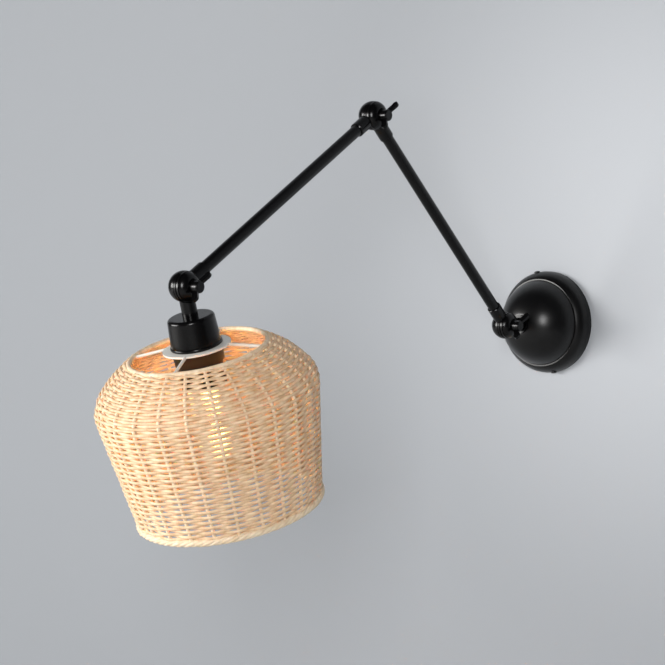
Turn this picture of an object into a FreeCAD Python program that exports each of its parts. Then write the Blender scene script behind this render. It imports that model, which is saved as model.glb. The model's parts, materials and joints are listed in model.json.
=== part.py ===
import FreeCAD, Part

import math
import os
import re

import Sketcher

# An articulating wall lamp: a spun metal canopy on a wall strap, two tubular arms, three ball-shaped
# half-lap joints clamped by wing screws, a lampholder under a metal cup, and a woven shade on a ring
# with four spokes.
#
# Frame: the origin is the centre of the strap's face on the wall. +Y goes into the wall, so the lamp
# reaches out along -Y. +Z is up and +X is to the right of someone who faces the wall. The three joint
# axes run along X, and both arms lie in the plane x = 0.
#
# Each piece is drawn in the frame of what carries it. In all of those, local X is the row's X:
#   wall frame  z is the distance out from the wall, turned by the canopy's twist
#   stem frames z runs from a joint's centre along the stem, with the joint's axis along x
#   head frame  z is the distance from the head joint down the lampholder's axis

SIZES = [
    # joints and arms
    ("base_joint_out", 74.2),
    ("arm_pitch", 282),
    ("lower_arm_rise", 43.97),
    ("upper_arm_fall", 30.67),
    ("head_lean", 16.3),
    ("thread_gap", 0.05),
    # ball halves
    ("ball_radius", 13),
    ("lap_gap", 0.6),
    ("lap_clearance", 0.35),
    ("washer_radius", 11.5),
    ("washer_play", 0.05),
    ("boss_band_end", 2.0),
    ("boss_band_radius", 12.85),
    ("boss_groove_radius", 11.8),
    ("boss_groove_width", 0.8),
    ("boss_strip_radius", 12.5),
    ("boss_strip_width", 1.8),
    ("boss_shoulder_radius", 12.1),
    ("boss_dome_radius", 8.5),
    ("boss_face_radius", 6.6),
    ("boss_face_out", 10.3),
    # stems, tubes and their cable
    ("collar_radius", 6.5),
    ("collar_length", 27),
    ("collar_chamfer", 0.6),
    ("socket_depth", 10),
    ("tube_radius", 5.27),
    ("tube_wall", 1),
    ("cable_radius", 3),
    ("cable_gap", 0.05),
    ("cable_run_in", 8.5),
    ("cable_end_gap", 0.5),
    # wing screws
    ("screw_shank_radius", 3),
    ("screw_tip_gap", 0.8),
    ("screw_hole_depth", 9.6),
    ("hub_radius", 5.2),
    ("hub_length", 7.9),
    ("hub_play", 0.1),
    ("hub_round", 1.2),
    ("wing_turn", 40),
    ("wing_thickness", 2.4),
    ("wing_tip_across", 11.5),
    ("wing_tip_out", 19.5),
    ("wing_tip_radius", 3.6),
    ("wing_root_low", 11.4),
    ("wing_root_high", 17.2),
    # canopy
    ("canopy_radius", 50),
    ("canopy_wall", 1),
    ("canopy_wall_gap", 0.3),
    ("canopy_edge", 4),
    ("canopy_rim_round", 13),
    ("canopy_ledge_radius", 42),
    ("canopy_ledge_out", 13.6),
    ("dome_radius", 40),
    ("dome_centre_out", 10),
    ("dome_seat_radius", 9.6),
    ("canopy_twist", 12),
    # nipple parts: the neck's threaded end and what clamps the canopy
    ("nipple_radius", 5),
    ("nipple_hole_gap", 0.15),
    ("collar_ring_radius", 9),
    ("collar_ring_thickness", 3),
    ("lock_washer_radius", 9),
    ("lock_washer_thickness", 1),
    ("nut_flats", 14),
    ("nut_thickness", 4.5),
    ("nipple_end", 2),
    # wall strap and its fittings
    ("strap_width", 16),
    ("strap_thickness", 2),
    ("strap_ear_out", 9),
    ("strap_bend_radius", 1),
    ("strap_ear_gap", 4),
    ("cable_outlet_radius", 6),
    ("wall_screw_circle", 60),
    ("wall_screw_hole_radius", 2.5),
    ("side_screw_out", 6.2),
    ("side_screw_radius", 2),
    ("side_screw_length", 8),
    ("side_head_radius", 2.9),
    ("side_head_height", 1.3),
    ("side_hole_gap", 0.2),
    ("earth_place", 38),
    ("earth_screw_radius", 2),
    ("earth_head_radius", 3.5),
    ("earth_head_height", 2.4),
    ("block_length", 20),
    ("block_width", 14),
    ("block_height", 11),
    ("block_place", 17),
    ("block_bore_radius", 1.8),
    ("block_bore_pitch", 9),
    # lamp cup
    ("cup_top", 25),
    ("cup_length", 26),
    ("cup_wall", 1),
    ("cup_top_radius", 19.7),
    ("cup_bottom_radius", 21.0),
    ("cup_edge_round", 3),
    ("cup_bead_height", 3),
    ("cup_bead_bulge", 0.7),
    ("cup_nut_thickness", 4),
    # lampholder
    ("holder_entry", 6),
    ("holder_top_radius", 17),
    ("holder_flange_radius", 19.9),
    ("holder_flange_thickness", 2),
    ("holder_skirt_radius", 18.9),
    ("holder_skirt_drop", 34),
    ("holder_cavity_radius", 15),
    ("holder_cavity_top", 41),
    ("block_gap", 0.05),
    ("contact_block_depth", 13),
    ("contact_radius", 3.5),
    ("contact_height", 4),
    ("shell_bore_radius", 13.3),
    ("shell_wall", 0.6),
    ("shell_length", 24),
    ("retainer_radius", 21.5),
    ("retainer_thickness", 12),
    # bulb
    ("cap_gap", 0.1),
    ("cap_wall", 1),
    ("cap_skirt", 2),
    ("cap_length", 24),
    ("cap_tip_radius", 5),
    ("glass_radius", 15),
    ("glass_wall", 0.8),
    ("glass_neck_radius", 12.4),
    ("glass_neck_length", 6),
    ("glass_length", 66),
    ("stem_radius", 4),
    ("stem_length", 12),
    ("filament_count", 6),
    ("filament_radius", 0.7),
    ("filament_circle", 7.5),
    ("filament_length", 44),
    # shade carrier
    ("ring_radius", 28.5),
    ("ring_thickness", 1.5),
    ("wire_radius", 1.3),
    ("spoke_count", 4),
    ("spoke_turn", 9),
    ("spoke_end_gap", 0.3),
    # shade
    ("rim_cane_radius", 2.4),
    ("opening_radius", 57.4),
    ("opening_drop", 56),
    ("shade_wall", 2.2),
    ("shoulder_radius", 93),
    ("shoulder_drop", 92),
    ("crown_round", 75),
    ("shoulder_round", 14),
    ("shade_foot_radius", 78.2),
    ("shade_foot_drop", 188.5),
    ("border_radius", 3),
    ("stake_count", 24),
    ("stake_gap", 0.25),
    ("stake_thickness", 1.2),
    ("stake_width_angle", 2.4),
]

doc = FreeCAD.newDocument("WallLamp")
sheet = doc.addObject("Spreadsheet::Sheet", "Sizes")
for row, (size_name, size) in enumerate(SIZES, start=1):
    sheet.set("A%d" % row, size_name.replace("_", " "))
    sheet.set("B%d" % row, str(size))
    sheet.setAlias("B%d" % row, size_name)
doc.recompute()
SIZE_NAMES = {size_name for size_name, size in SIZES}


def cells(text):
    """The expression with each size's name pointed at its cell."""
    return re.sub(r"[a-z_]+", lambda w: "Sizes." + w.group() if w.group() in SIZE_NAMES else w.group(), text)


def value(text):
    return float(sheet.evalExpression(cells(text)))


# Places worked out from the driving sizes
SEAT_OUT = "(dome_centre_out + sqrt(dome_radius^2 - dome_seat_radius^2))"
LAP_REACH = "(ball_radius + lap_clearance)"
GROOVE_END = "(boss_band_end + boss_groove_width)"
STRIP_END = "(boss_band_end + boss_groove_width + boss_strip_width)"
SHOULDER_START = "(boss_band_end + 2 * boss_groove_width + boss_strip_width)"
HUB_START = "(boss_face_out + hub_play)"
CUP_FOOT = "(cup_top + cup_length)"
HOLDER_TOP = "(cup_top + cup_wall + cup_nut_thickness)"
BLOCK_FOOT = "(holder_cavity_top + contact_block_depth)"
CONTACT_FOOT = "(holder_cavity_top + contact_block_depth + contact_height)"
CAP_FOOT = "(holder_cavity_top + contact_block_depth + contact_height + cap_skirt + cap_length)"
RING_FOOT = "(cup_top + cup_length + ring_thickness)"
TOP_RADIUS = "(opening_radius + shade_wall / 2)"
CROWN_RADIUS = "(shoulder_radius - 2.6)"
CROWN_DROP = "(shoulder_drop - 7)"
WAIST_DROP = "(shoulder_drop + 12)"
SPOKE_END = "(opening_radius - rim_cane_radius - spoke_end_gap)"

ELBOW_Y = "(0 - base_joint_out - arm_pitch * cos(lower_arm_rise))"
ELBOW_Z = "(arm_pitch * sin(lower_arm_rise))"
HEAD_Y = "(0 - base_joint_out - arm_pitch * cos(lower_arm_rise) - arm_pitch * cos(upper_arm_fall))"
HEAD_Z = "(arm_pitch * sin(lower_arm_rise) - arm_pitch * sin(upper_arm_fall))"


def frame(y, z, turn, twist="0"):
    """A frame at (0, y, z) turned about X, then twisted about its own z."""
    spin = "rotation(vector(1; 0; 0); %s) * rotation(vector(0; 0; 1); %s)" % (turn, twist)
    return "placement(vector(0; %s; %s); %s)" % (y, z, spin)


WALL = frame("0", "0", "90", "canopy_twist")
NECK = frame("0 - base_joint_out", "0", "0 - 90")
LOWER_FOOT = frame("0 - base_joint_out", "0", "90 - lower_arm_rise")
LOWER_HEAD = frame(ELBOW_Y, ELBOW_Z, "270 - lower_arm_rise")
UPPER_FOOT = frame(ELBOW_Y, ELBOW_Z, "90 + upper_arm_fall")
UPPER_HEAD = frame(HEAD_Y, HEAD_Z, "270 + upper_arm_fall")
HEAD = frame(HEAD_Y, HEAD_Z, "180 + head_lean")
BASE_SCREW = frame("0 - base_joint_out", "0", "0 - wing_turn")
ELBOW_SCREW = frame(ELBOW_Y, ELBOW_Z, "0 - wing_turn")
HEAD_SCREW = frame(HEAD_Y, HEAD_Z, "0 - wing_turn")

parts = []


def new_body(node, place):
    """An empty body for one sub-part, placed by a bound expression."""
    body = doc.addObject("PartDesign::Body", node)
    body.Label = node
    body.AllowCompound = True
    body.setExpression("Placement", cells(place))
    parts.append(body)
    return body


def new_sketch(body, name, role, lift=None):
    """A sketch on one of the body's own origin planes, moved along the plane's normal by lift."""
    plane = next(item for item in body.Origin.OriginFeatures if item.Role == role)
    sketch = body.newObject("Sketcher::SketchObject", body.Name + name)
    sketch.AttachmentSupport = [(plane, "")]
    sketch.MapMode = "FlatFace"
    if lift:
        sketch.setExpression("AttachmentOffset.Base.z", cells(lift))
    return sketch


def bind(sketch, constraint, text):
    """Add a constraint whose size follows an expression."""
    index = sketch.addConstraint(constraint)
    sketch.setExpression("Constraints[%d]" % index, cells(text))


def place_point(sketch, edge, point, across, up):
    """Hold one point of the sketch at (across, up) from the sketch's origin."""
    for kind, axis, text in (("DistanceX", -2, across), ("DistanceY", -1, up)):
        if text == "0":
            sketch.addConstraint(Sketcher.Constraint("PointOnObject", edge, point, axis))
        else:
            bind(sketch, Sketcher.Constraint(kind, -1, 1, edge, point, value(text)), text)


def arc_through(start, end, radius):
    """The short arc from start to end: counter-clockwise if the radius is positive."""
    chord = end - start
    middle = (start + end) * 0.5
    normal = FreeCAD.Vector(-chord.y, chord.x, 0).normalize()
    rise = math.sqrt(radius ** 2 - (chord.Length / 2) ** 2)
    centre = middle + normal * math.copysign(rise, radius)
    first, last = (start, end) if radius > 0 else (end, start)
    angles = [math.atan2(spot.y - centre.y, spot.x - centre.x) for spot in (first, last)]
    circle = Part.Circle(centre, FreeCAD.Vector(0, 0, 1), abs(radius))
    return Part.ArcOfCircle(circle, angles[0], angles[1])


def outline(sketch, corners):
    """A closed loop through corners (across, up[, radius]); a radius bends the edge to the next corner."""
    spots = [FreeCAD.Vector(value(corner[0]), value(corner[1]), 0) for corner in corners]
    ends = []
    for index, corner in enumerate(corners):
        start, end = spots[index], spots[(index + 1) % len(spots)]
        bend = value(corner[2]) if len(corner) == 3 else 0
        edge = arc_through(start, end, bend) if bend else Part.LineSegment(start, end)
        edge_index = sketch.addGeometry(edge)
        ends.append((edge_index, 2, 1) if bend < 0 else (edge_index, 1, 2))
    for index, corner in enumerate(corners):
        edge_index, first, last = ends[index]
        next_index, next_first, next_last = ends[(index + 1) % len(ends)]
        sketch.addConstraint(Sketcher.Constraint("Coincident", edge_index, last, next_index, next_first))
        place_point(sketch, edge_index, first, corner[0], corner[1])
        if len(corner) == 3:
            size = corner[2].lstrip("-")
            bind(sketch, Sketcher.Constraint("Radius", edge_index, value(size)), size)


def circle(sketch, radius, across="0", up="0"):
    spot = FreeCAD.Vector(value(across), value(up), 0)
    edge_index = sketch.addGeometry(Part.Circle(spot, FreeCAD.Vector(0, 0, 1), value(radius)))
    place_point(sketch, edge_index, 3, across, up)
    bind(sketch, Sketcher.Constraint("Radius", edge_index, value(radius)), radius)


def feature(body, kind, sketch, length=None, symmetric=False, reverse=False):
    """A Pad or Pocket of the sketch; with no length it goes through everything."""
    item = body.newObject("PartDesign::" + kind, sketch.Name + kind)
    item.Profile = sketch
    if length:
        item.setExpression("Length", cells(length))
    else:
        item.Type = "ThroughAll"
    if symmetric:
        item.SideType = "Symmetric"
    item.Reversed = reverse
    return item


def turned(body, name, corners, about="V_Axis", kind="Revolution"):
    """A solid of revolution, or a groove, about the body's z (V_Axis) or x (H_Axis)."""
    sketch = new_sketch(body, name, "XZ_Plane")
    outline(sketch, corners)
    item = body.newObject("PartDesign::" + kind, body.Name + name + kind)
    item.Profile = sketch
    item.ReferenceAxis = (sketch, [about])
    item.Angle = 360
    return item


def around(body, originals, count):
    """Copies of a feature round the body's z axis."""
    doc.recompute()
    axis = next(item for item in body.Origin.OriginFeatures if item.Role == "Z_Axis")
    pattern = body.newObject("PartDesign::PolarPattern", body.Name + "Pattern")
    pattern.Originals = originals
    pattern.Axis = (axis, [""])
    pattern.Angle = 360
    pattern.setExpression("Occurrences", cells(count))
    body.Tip = pattern
    return pattern


# Ball halves on their stems
#
# Both halves of a joint are cut back to the lap plane x = 0 inside the lap's reach, so one turns past
# the other. Outside it the stem is full round.


def plain_cheek(body):
    """The half ball at -x: a dome with a blind threaded hole for the wing screw."""
    lap = "(lap_gap / 2)"
    lap_radius = "sqrt(ball_radius^2 - (lap_gap / 2)^2)"
    turned(body, "Ball", [("0 - ball_radius", "0", "-ball_radius"), ("0 - " + lap, lap_radius),
                          ("0 - " + lap, "0")], "H_Axis")
    turned(body, "Lap", [("0 - " + lap, "0"), ("0 - " + lap, LAP_REACH), ("2 * ball_radius", LAP_REACH),
                         ("2 * ball_radius", "0")], "H_Axis", "Groove")
    hole = "(screw_shank_radius + thread_gap)"
    turned(body, "Thread", [("0 - screw_hole_depth", "0"), ("0 - screw_hole_depth", hole), ("0", hole),
                            ("0", "0")], "H_Axis", "Groove")


def boss_cheek(body):
    """The half ball at +x: two turned grooves, then a domed boss that the wing screw bears on."""
    lap = "(lap_gap / 2)"
    lap_radius = "sqrt(ball_radius^2 - (lap_gap / 2)^2)"
    turned(body, "Ball", [(lap, "0"), (lap, lap_radius), ("boss_band_end", "boss_band_radius"),
                          ("boss_band_end", "boss_groove_radius"), (GROOVE_END, "boss_groove_radius"),
                          (GROOVE_END, "boss_strip_radius"), (STRIP_END, "boss_strip_radius"),
                          (STRIP_END, "boss_groove_radius"), (SHOULDER_START, "boss_groove_radius"),
                          (SHOULDER_START, "boss_shoulder_radius", "-boss_dome_radius"),
                          ("boss_face_out", "boss_face_radius"), ("boss_face_out", "0")], "H_Axis")
    turned(body, "Lap", [(lap, "0"), (lap, LAP_REACH), ("0 - 2 * ball_radius", LAP_REACH),
                         ("0 - 2 * ball_radius", "0")], "H_Axis", "Groove")
    hole = "(screw_shank_radius + thread_gap)"
    turned(body, "Passage", [("0", "0"), ("0", hole), ("boss_face_out + 1", hole),
                             ("boss_face_out + 1", "0")], "H_Axis", "Groove")


def stem(body, length, chamfered=True):
    """The round stem from the ball's centre, before the lap is cut."""
    edge = "collar_chamfer" if chamfered else "0"
    turned(body, "Stem", [("0", "0"), ("collar_radius", "0"), ("collar_radius", "%s - %s" % (length, edge)),
                          ("collar_radius - " + edge, length), ("0", length)] if chamfered else
           [("0", "0"), ("collar_radius", "0"), ("collar_radius", length), ("0", length)])


def arm_knuckle(node, place, cheek):
    """A ball half whose stem ends in a socket for the arm's tube, with the cable's bore behind it."""
    body = new_body(node, place)
    stem(body, "collar_length")
    cheek(body)
    bore = "(cable_radius + cable_gap)"
    socket = "(tube_radius + thread_gap)"
    floor = "(collar_length - socket_depth)"
    turned(body, "Socket", [("0", "cable_run_in"), (bore, "cable_run_in"), (bore, floor), (socket, floor),
                            (socket, "collar_length + 1"), ("0", "collar_length + 1")], kind="Groove")
    return body


def nipple_knuckle(node, place, cheek, shoulder, end):
    """A ball half whose stem ends in a shoulder and a threaded nipple, bored for the cable."""
    body = new_body(node, place)
    stem(body, shoulder, chamfered=False)
    cheek(body)
    bore = "(cable_radius + cable_gap)"
    turned(body, "Nipple", [(bore, "%s - 1" % shoulder), ("nipple_radius", "%s - 1" % shoulder),
                            ("nipple_radius", end), (bore, end)])
    turned(body, "Bore", [("0", "cable_run_in"), (bore, "cable_run_in"), (bore, end), ("0", end)],
           kind="Groove")
    return body


def arm(name, foot_place, foot_cheek, head_place, head_cheek):
    """One arm: a knuckle at each end, the tube between their sockets, and the cable inside."""
    arm_knuckle(name + "_foot_knuckle", foot_place, foot_cheek)
    arm_knuckle(name + "_head_knuckle", head_place, head_cheek)
    floor = "(collar_length - socket_depth)"
    inner = "(tube_radius - tube_wall)"
    tube = new_body(name + "_tube", foot_place)
    turned(tube, "Wall", [(inner, floor), ("tube_radius", floor), ("tube_radius", "arm_pitch - " + floor),
                          (inner, "arm_pitch - " + floor)])
    cable = new_body(name + "_cable", foot_place)
    cable_end = "(%s + cable_end_gap)" % LAP_REACH
    turned(cable, "Core", [("0", cable_end), ("cable_radius", cable_end),
                           ("cable_radius", "arm_pitch - " + cable_end), ("0", "arm_pitch - " + cable_end)])


def friction_washer(node, place):
    """A thin disc between the two ball halves."""
    body = new_body(node, place)
    half = "(lap_gap / 2 - washer_play)"
    hole = "(screw_shank_radius + thread_gap)"
    turned(body, "Disc", [("0 - " + half, hole), (half, hole), (half, "washer_radius"),
                          ("0 - " + half, "washer_radius")], "H_Axis")


def wing_screw(node, place):
    """A screw along x with a round hub and two rounded wings that flare away from the joint."""
    body = new_body(node, place)
    tip = "(0 - screw_hole_depth + screw_tip_gap)"
    hub_end = "(%s + hub_length)" % HUB_START
    turned(body, "Shank", [(tip, "0"), (tip, "screw_shank_radius"), (HUB_START, "screw_shank_radius"),
                           (HUB_START, "hub_radius"), (hub_end + " - hub_round", "hub_radius", "-hub_round"),
                           (hub_end, "hub_radius - hub_round"), (hub_end, "0")], "H_Axis")
    sketch = new_sketch(body, "Wing", "XZ_Plane")
    root = "(hub_radius - 2)"
    outline(sketch, [("wing_root_low", root), ("wing_root_high", root),
                     ("wing_tip_out + 0.5 * wing_tip_radius", "wing_tip_across - 0.5 * wing_tip_radius",
                      "wing_tip_radius"),
                     ("wing_tip_out", "wing_tip_across + wing_tip_radius", "wing_tip_radius"),
                     ("wing_tip_out - 0.9 * wing_tip_radius", "wing_tip_across")])
    wing = feature(body, "Pad", sketch, "wing_thickness", symmetric=True)
    doc.recompute()
    plane = next(item for item in body.Origin.OriginFeatures if item.Role == "XY_Plane")
    mirrored = body.newObject("PartDesign::Mirrored", body.Name + "SecondWing")
    mirrored.Originals = [wing]
    mirrored.MirrorPlane = (plane, [""])
    body.Tip = mirrored


def ring_nut(node, place, start, thickness, hexagon=True, radius=None):
    """A hexagon nut, or a round ring, on the nipple from start along z."""
    body = new_body(node, place)
    sketch = new_sketch(body, "Shape", "XY_Plane", start)
    if hexagon:
        corner = "nut_flats / 2 / cos(30)"
        outline(sketch, [("%s * cos(%d)" % (corner, 60 * side), "%s * sin(%d)" % (corner, 60 * side))
                         if side % 3 else ("%s%s" % ("" if side == 0 else "0 - ", corner), "0")
                         for side in range(6)])
    else:
        circle(sketch, radius)
    circle(sketch, "nipple_radius + thread_gap")
    feature(body, "Pad", sketch, thickness)
    return body


# Wall side


def canopy():
    """A spun shell: a rolled rim, a ledge and a dome with a flat seat for the neck."""
    body = new_body("canopy", WALL)
    hole = "(nipple_radius + nipple_hole_gap)"
    ledge_on_dome = "sqrt(dome_radius^2 - (canopy_ledge_out - dome_centre_out)^2)"
    inner_ledge_out = "(canopy_ledge_out - canopy_wall)"
    inner_dome = "(dome_radius - canopy_wall)"
    inner_seat_out = "(%s - canopy_wall)" % SEAT_OUT
    inner_seat_radius = "sqrt((dome_radius - canopy_wall)^2 - (%s - canopy_wall - dome_centre_out)^2)" % SEAT_OUT
    inner_ledge_on_dome = "sqrt((dome_radius - canopy_wall)^2 - (canopy_ledge_out - canopy_wall - dome_centre_out)^2)"
    turned(body, "Shell", [
        ("canopy_radius", "canopy_wall_gap"), ("canopy_radius", "canopy_edge", "canopy_rim_round"),
        ("canopy_ledge_radius", "canopy_ledge_out"), (ledge_on_dome, "canopy_ledge_out", "dome_radius"),
        ("dome_seat_radius", SEAT_OUT), (hole, SEAT_OUT), (hole, inner_seat_out),
        (inner_seat_radius, inner_seat_out, "-" + inner_dome), (inner_ledge_on_dome, inner_ledge_out),
        ("canopy_ledge_radius - canopy_wall", inner_ledge_out, "-(canopy_rim_round - canopy_wall)"),
        ("canopy_radius - canopy_wall", "canopy_edge"), ("canopy_radius - canopy_wall", "canopy_wall_gap")])
    holes = new_sketch(body, "ScrewHoles", "XZ_Plane")
    circle(holes, "side_screw_radius + side_hole_gap", "0", "side_screw_out")
    feature(body, "Pocket", holes, "4 * canopy_radius", symmetric=True)


def wall_strap():
    """A bent steel strap: two ears take the canopy's side screws, two holes the wall screws."""
    body = new_body("wall_strap", WALL)
    ear = "(canopy_radius - canopy_wall - strap_ear_gap)"
    profile = new_sketch(body, "Profile", "YZ_Plane")
    inner = "(%s - strap_thickness)" % ear
    bend = "(strap_thickness + strap_bend_radius)"
    outline(profile, [
        ("0 - %s + %s" % (ear, bend), "0"), ("%s - %s" % (ear, bend), "0", bend),
        (ear, bend), (ear, "strap_ear_out"), (inner, "strap_ear_out"), (inner, bend, "-strap_bend_radius"),
        ("%s - %s" % (ear, bend), "strap_thickness"), ("0 - %s + %s" % (ear, bend), "strap_thickness",
                                                       "-strap_bend_radius"),
        ("0 - " + inner, bend), ("0 - " + inner, "strap_ear_out"), ("0 - " + ear, "strap_ear_out"),
        ("0 - " + ear, bend, bend)])
    feature(body, "Pad", profile, "strap_width", symmetric=True)
    holes = new_sketch(body, "Holes", "XY_Plane")
    circle(holes, "cable_outlet_radius")
    circle(holes, "wall_screw_hole_radius", "0", "wall_screw_circle / 2")
    circle(holes, "wall_screw_hole_radius", "0", "0 - wall_screw_circle / 2")
    circle(holes, "earth_screw_radius + thread_gap", "0", "earth_place")
    feature(body, "Pocket", holes, "4 * strap_thickness", symmetric=True)
    threads = new_sketch(body, "EarThreads", "XZ_Plane")
    circle(threads, "side_screw_radius + thread_gap", "0", "side_screw_out")
    feature(body, "Pocket", threads, "4 * canopy_radius", symmetric=True)


def dome(radius, height):
    """The radius of a shallow dome over a round head."""
    return "((%s^2 + %s^2) / (2 * %s))" % (radius, height, height)


def side_screw(node, turn):
    """A pan-head screw through the canopy's rim into one ear of the strap, along the body's z."""
    body = new_body(node, "%s * placement(vector(0; 0; side_screw_out); rotation(vector(1; 0; 0); %s))"
                    % (WALL, turn))
    outside = "canopy_radius"
    turned(body, "Shape", [
        ("0", "%s - side_screw_length" % outside), ("side_screw_radius", "%s - side_screw_length" % outside),
        ("side_screw_radius", outside), ("side_head_radius", outside),
        ("side_head_radius", outside + " + 0.5 * side_head_height",
         dome("side_head_radius", "(0.5 * side_head_height)")),
        ("0", outside + " + side_head_height")])


def earth_screw():
    body = new_body("earth_screw", WALL + " * placement(vector(0; earth_place; 0); rotation(vector(1; 0; 0); 0))")
    turned(body, "Shape", [
        ("0", "0"), ("earth_screw_radius", "0"), ("earth_screw_radius", "strap_thickness"),
        ("earth_head_radius", "strap_thickness"),
        ("earth_head_radius", "strap_thickness + 0.5 * earth_head_height",
         dome("earth_head_radius", "(0.5 * earth_head_height)")),
        ("0", "strap_thickness + earth_head_height")])


def terminal_block():
    """A two-way connector block on the strap, with its wire passages through."""
    body = new_body("terminal_block", WALL)
    base = new_sketch(body, "Base", "XY_Plane", "strap_thickness")
    low = "(0 - block_place - block_width / 2)"
    high = "(0 - block_place + block_width / 2)"
    side = "(block_length / 2)"
    outline(base, [("0 - " + side, low), (side, low), (side, high), ("0 - " + side, high)])
    feature(body, "Pad", base, "block_height")
    bores = new_sketch(body, "Bores", "XZ_Plane")
    for across in ("block_bore_pitch / 2", "0 - block_bore_pitch / 2"):
        circle(bores, "block_bore_radius", across, "strap_thickness + block_height / 2")
    feature(body, "Pocket", bores, "4 * canopy_radius", symmetric=True)


# Head


def lamp_cup():
    """A thin metal cup over the lampholder, with a rounded top edge and a rolled bead at the foot."""
    body = new_body("lamp_cup", HEAD)
    hole = "(nipple_radius + nipple_hole_gap)"
    top_in = "(cup_top + cup_wall)"
    bead_top = "(%s - cup_bead_height)" % CUP_FOOT
    turned(body, "Shell", [
        (hole, "cup_top"), ("cup_top_radius - cup_edge_round", "cup_top", "cup_edge_round"),
        ("cup_top_radius", "cup_top + cup_edge_round"), ("cup_bottom_radius", bead_top, "0.6 * cup_bead_height"),
        ("cup_bottom_radius", CUP_FOOT), ("cup_bottom_radius - cup_wall", CUP_FOOT),
        ("cup_top_radius - cup_wall", "cup_top + cup_edge_round", "-(cup_edge_round - cup_wall)"),
        ("cup_top_radius - cup_edge_round", top_in), (hole, top_in)])


def lampholder():
    """The lampholder's moulded body, contact block, centre contact and screw shell, and its ring nut."""
    body = new_body("lampholder_body", HEAD)
    entry = "(nipple_radius + thread_gap)"
    flange_top = "(%s - holder_flange_thickness)" % CUP_FOOT
    skirt_foot = "(%s + holder_skirt_drop)" % CUP_FOOT
    turned(body, "Shell", [
        (entry, HOLDER_TOP), ("holder_top_radius", HOLDER_TOP), ("holder_top_radius", flange_top),
        ("holder_flange_radius", flange_top), ("holder_flange_radius", CUP_FOOT),
        ("holder_skirt_radius", CUP_FOOT), ("holder_skirt_radius", skirt_foot),
        ("holder_cavity_radius", skirt_foot), ("holder_cavity_radius", "holder_cavity_top"),
        (entry, "holder_cavity_top")])
    block = new_body("contact_block", HEAD)
    turned(block, "Disc", [
        ("0", "holder_cavity_top"), ("holder_cavity_radius - block_gap", "holder_cavity_top"),
        ("holder_cavity_radius - block_gap", BLOCK_FOOT), ("0", BLOCK_FOOT)])
    contact = new_body("centre_contact", HEAD)
    turned(contact, "Stud", [("0", BLOCK_FOOT), ("contact_radius", BLOCK_FOOT),
                             ("contact_radius", CONTACT_FOOT), ("0", CONTACT_FOOT)])
    shell = new_body("screw_shell", HEAD)
    outer = "(shell_bore_radius + shell_wall)"
    turned(shell, "Wall", [
        ("shell_bore_radius", BLOCK_FOOT), (outer, BLOCK_FOOT), (outer, BLOCK_FOOT + " + shell_length"),
        ("shell_bore_radius", BLOCK_FOOT + " + shell_length")])
    retainer = new_body("retaining_ring", HEAD)
    turned(retainer, "Ring", [
        ("holder_skirt_radius + thread_gap", RING_FOOT), ("retainer_radius", RING_FOOT),
        ("retainer_radius - 1", RING_FOOT + " + retainer_thickness"),
        ("holder_skirt_radius + thread_gap", RING_FOOT + " + retainer_thickness")])


def bulb():
    """A tubular filament bulb: screw cap, glass envelope, glass stem and upright filaments."""
    cap = new_body("bulb_cap", HEAD)
    cap_radius = "(shell_bore_radius - cap_gap)"
    inner = "(%s - cap_wall)" % cap_radius
    turned(cap, "Shape", [
        ("0", CONTACT_FOOT), ("cap_tip_radius", CONTACT_FOOT),
        (cap_radius, CONTACT_FOOT + " + cap_skirt"), (cap_radius, CAP_FOOT), (inner, CAP_FOOT),
        (inner, CONTACT_FOOT + " + cap_skirt + cap_wall"), ("0", CONTACT_FOOT + " + cap_skirt + cap_wall")])
    glass = new_body("bulb_glass", HEAD)
    neck_foot = "(%s + glass_neck_length)" % CAP_FOOT
    dome_top = "(%s + glass_length - glass_radius)" % CAP_FOOT
    glass_foot = "(%s + glass_length)" % CAP_FOOT
    turned(glass, "Envelope", [
        ("glass_neck_radius", CAP_FOOT), ("glass_radius", neck_foot), ("glass_radius", dome_top, "glass_radius"),
        ("0", glass_foot), ("0", glass_foot + " - glass_wall", "-(glass_radius - glass_wall)"),
        ("glass_radius - glass_wall", dome_top), ("glass_radius - glass_wall", neck_foot),
        ("glass_neck_radius - glass_wall", CAP_FOOT)])
    post = new_body("bulb_stem", HEAD)
    flare = "(glass_neck_radius - glass_wall)"
    turned(post, "Post", [
        ("0", CAP_FOOT), (flare, CAP_FOOT), (flare, CAP_FOOT + " + glass_wall"),
        ("stem_radius", CAP_FOOT + " + 3 * glass_wall"), ("0.6 * stem_radius", CAP_FOOT + " + stem_length"),
        ("0", CAP_FOOT + " + stem_length")])
    filaments = new_body("bulb_filaments", HEAD)
    start = "(%s + stem_length)" % CAP_FOOT
    turned(filaments, "Spider", [
        ("0", start), ("filament_circle + 2 * filament_radius", start),
        ("filament_circle + 2 * filament_radius", start + " + filament_radius"),
        ("0", start + " + filament_radius")])
    rod = new_sketch(filaments, "Rod", "XY_Plane", start)
    circle(rod, "filament_radius", "filament_circle", "0")
    rods = feature(filaments, "Pad", rod, "filament_length")
    around(filaments, [rods], "filament_count")


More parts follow.
